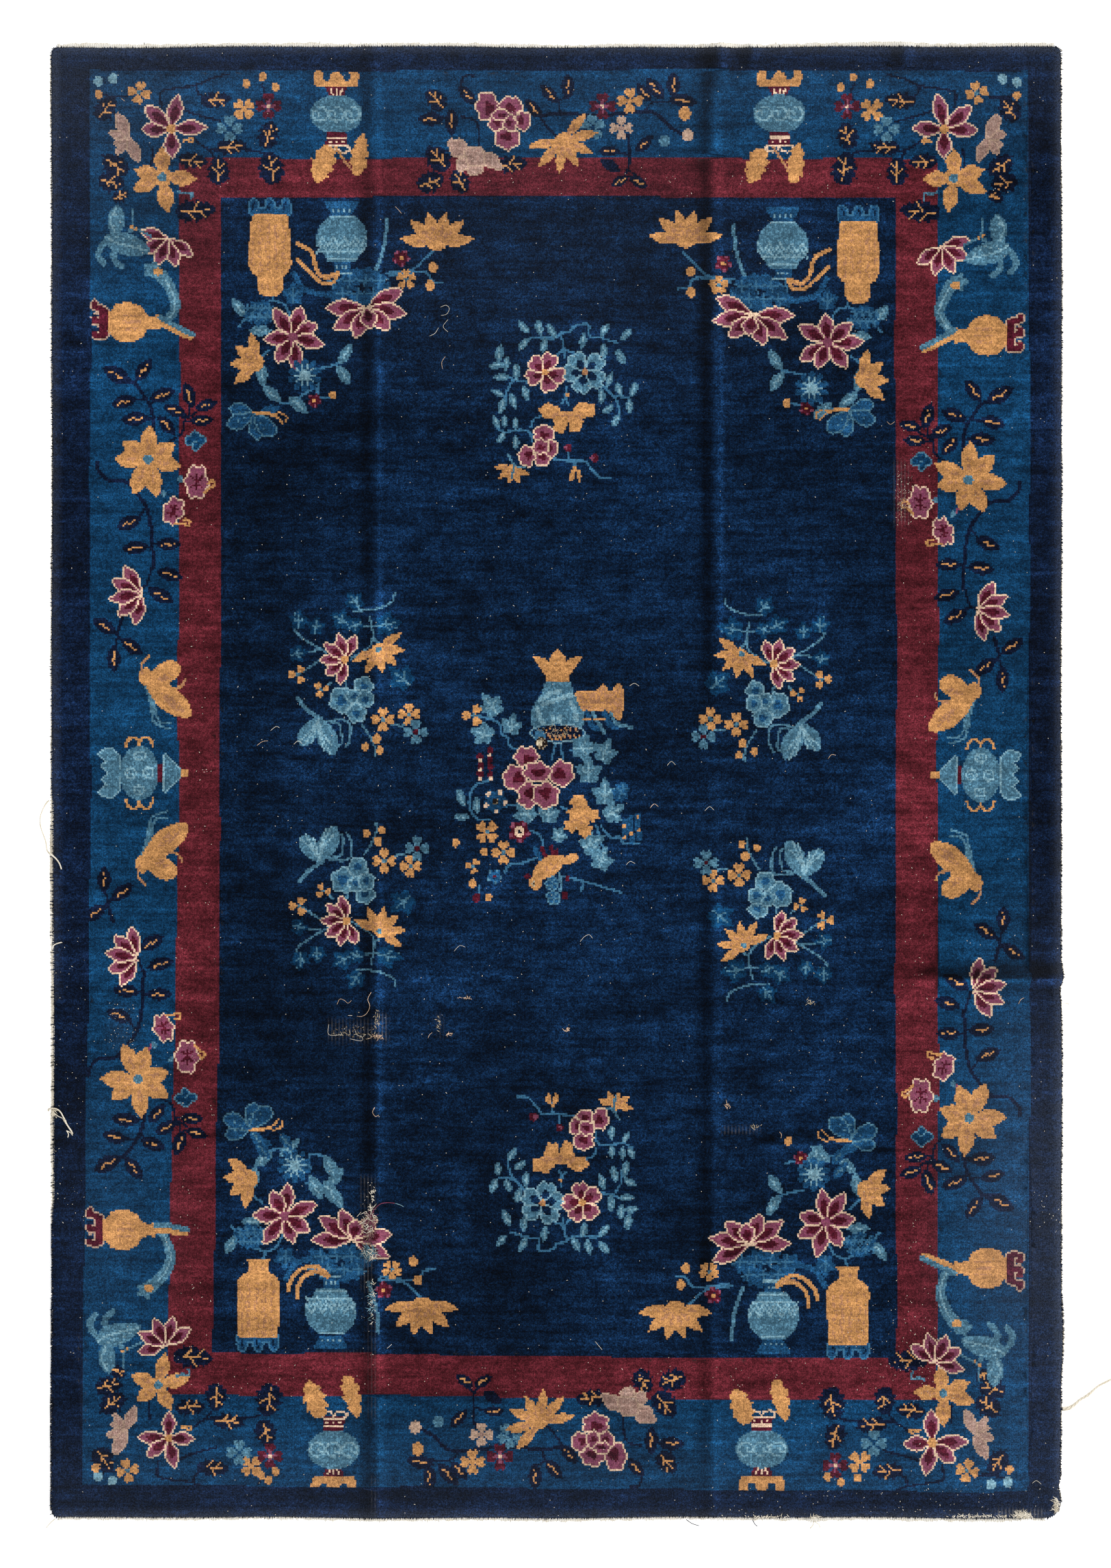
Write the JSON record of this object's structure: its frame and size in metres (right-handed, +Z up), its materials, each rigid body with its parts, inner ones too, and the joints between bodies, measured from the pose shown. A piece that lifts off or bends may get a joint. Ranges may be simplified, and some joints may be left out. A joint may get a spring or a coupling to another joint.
{
  "type": "chinese art deco rug",
  "caption": "Hand-knotted wool rug lying flat, navy field with vases and flower sprays, red guard band, blue border, worn cotton ends and side bindings.",
  "frame": {"origin": "on the floor, under the middle of the rug's outline", "axes": "+X to the right across the rug, +Y along it to the top end, +Z up out of the pile"},
  "size_m": [1.9731, 2.6796, 0.0215],
  "materials": {
    "wool_pile": "knotted wool pile, matte with a soft sheen",
    "cotton_web": "undyed cotton web, matte",
    "cotton_cord": "undyed cotton cord, matte"
  },
  "bodies": {
    "root": {"rug_body": "wool_pile", "end_web_top": "cotton_web", "end_web_bottom": "cotton_web", "binding_left": "cotton_cord", "binding_right": "cotton_cord", "loose_cord": "cotton_cord", "loop_thread": "cotton_cord", "knot_thread": "cotton_cord"}
  },
  "joints": []
}
